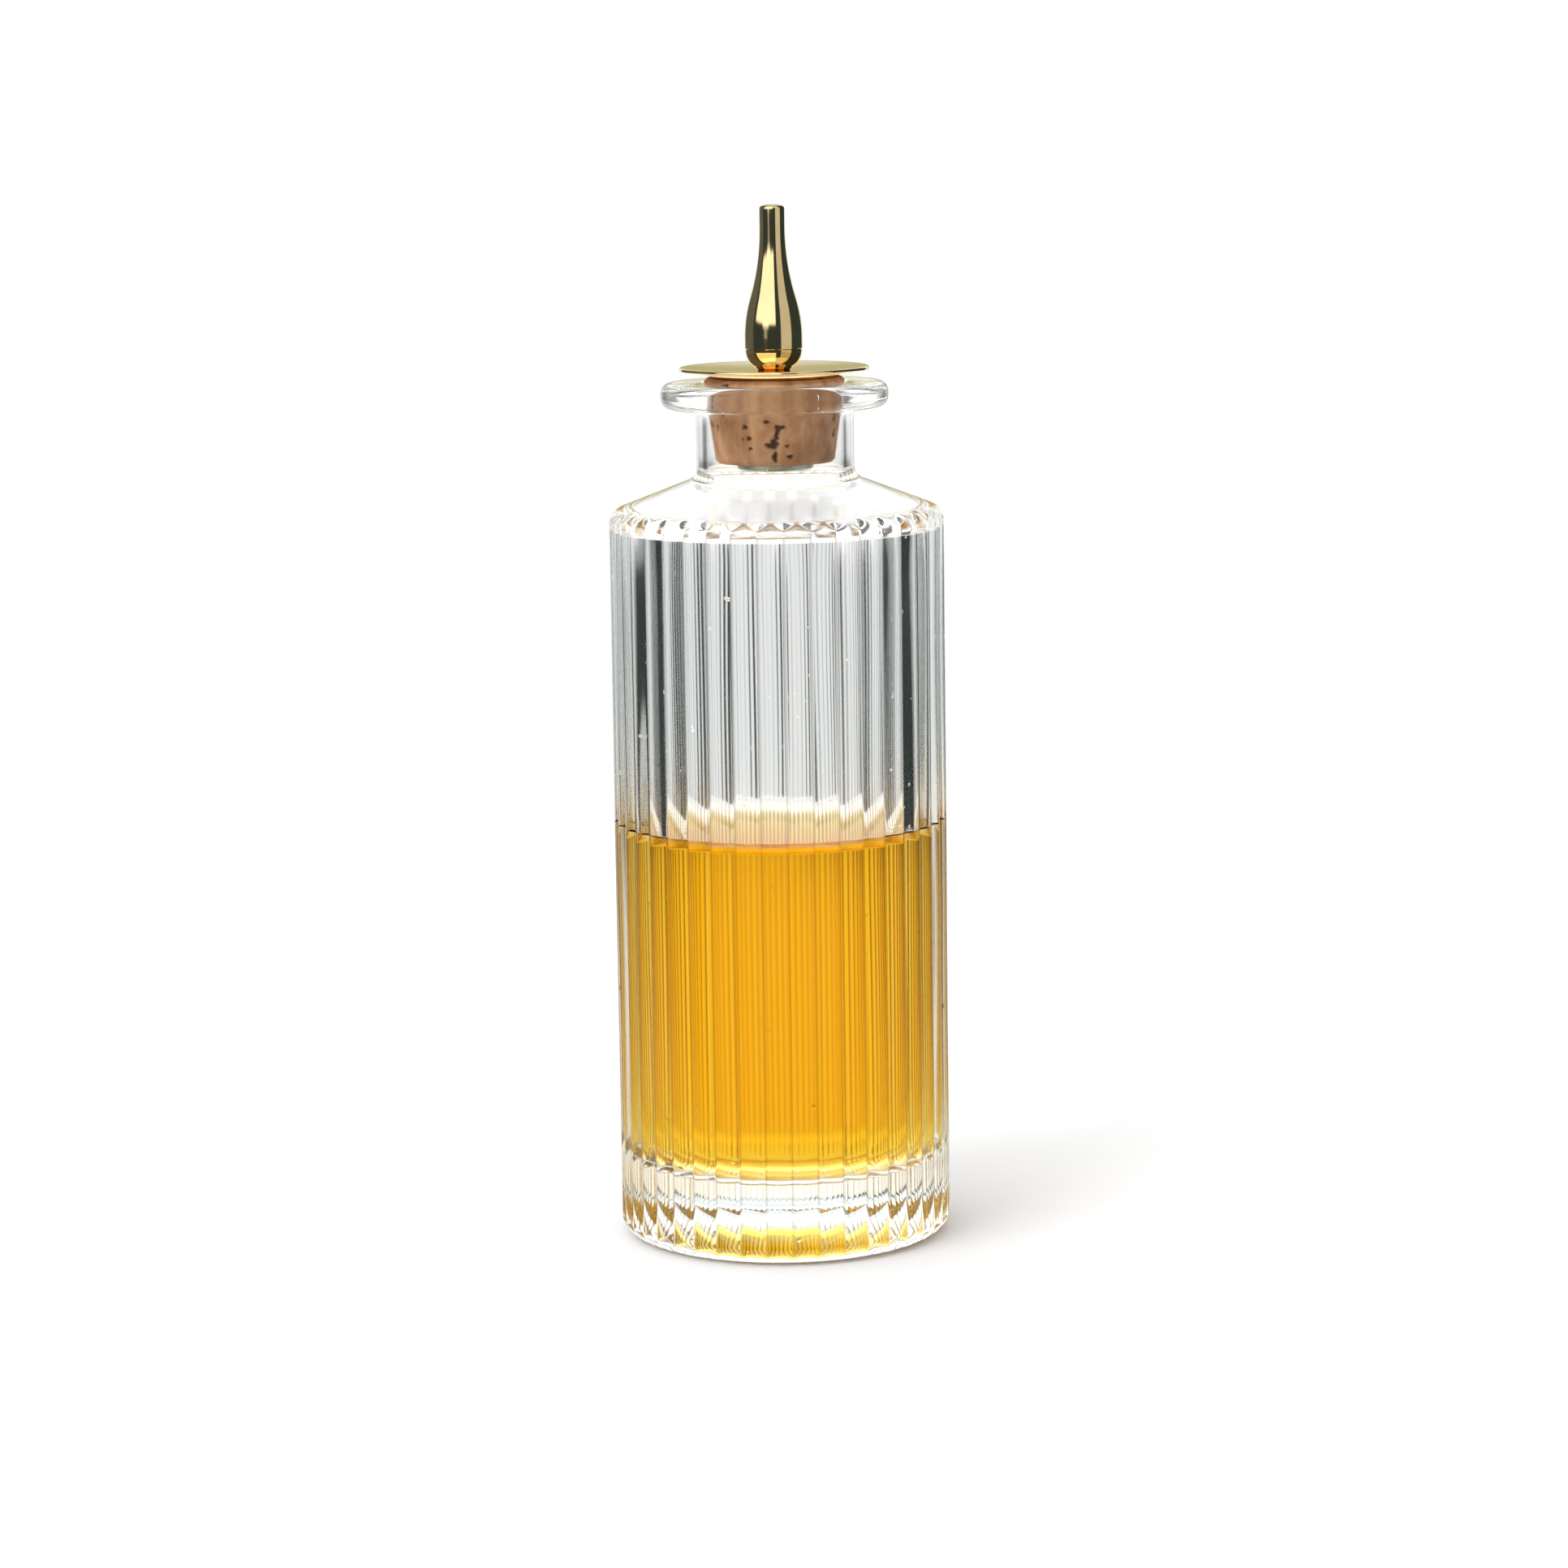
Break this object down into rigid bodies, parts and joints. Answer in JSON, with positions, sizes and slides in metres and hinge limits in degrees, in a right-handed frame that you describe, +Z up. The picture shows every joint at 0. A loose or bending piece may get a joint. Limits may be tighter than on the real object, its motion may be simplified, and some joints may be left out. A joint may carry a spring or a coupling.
{
  "type": "bitters bottle",
  "caption": "Round ribbed clear glass bottle of amber liquid, closed by a tapered cork that carries a turning brass dasher top with a slim spout.",
  "frame": {"origin": "centre of the standing ring, on the surface that the bottle stands on", "axes": "+Z up the bottle's axis to the spout's tip, -Y towards the viewer of the picture"},
  "size_m": [0.044, 0.044, 0.136],
  "materials": {
    "glass": "clear fire-polished pressed glass",
    "liquid": "clear amber liquid",
    "cork": "natural cork with open pits",
    "brass": "polished",
    "steel": "polished"
  },
  "bodies": {
    "bottle": {"glass_bottle": "glass", "bitters_liquid": "liquid"},
    "cork": {"cork_stopper": "cork"},
    "dasher_top": {"cap_plate": "brass", "nozzle_collar": "brass", "dash_nozzle": "brass", "stem_tube": "steel", "retaining_washer": "steel"}
  },
  "joints": [
    {"name": "stopper_pull", "type": "slide", "parent": "bottle", "child": "cork", "axis": [0, 0, 1], "range_m": [0, 0.03]},
    {"name": "dasher_turn", "type": "hinge", "parent": "cork", "child": "dasher_top", "pos_m": [0, 0, 0.108], "axis": [0, 0, 1], "continuous": true}
  ]
}
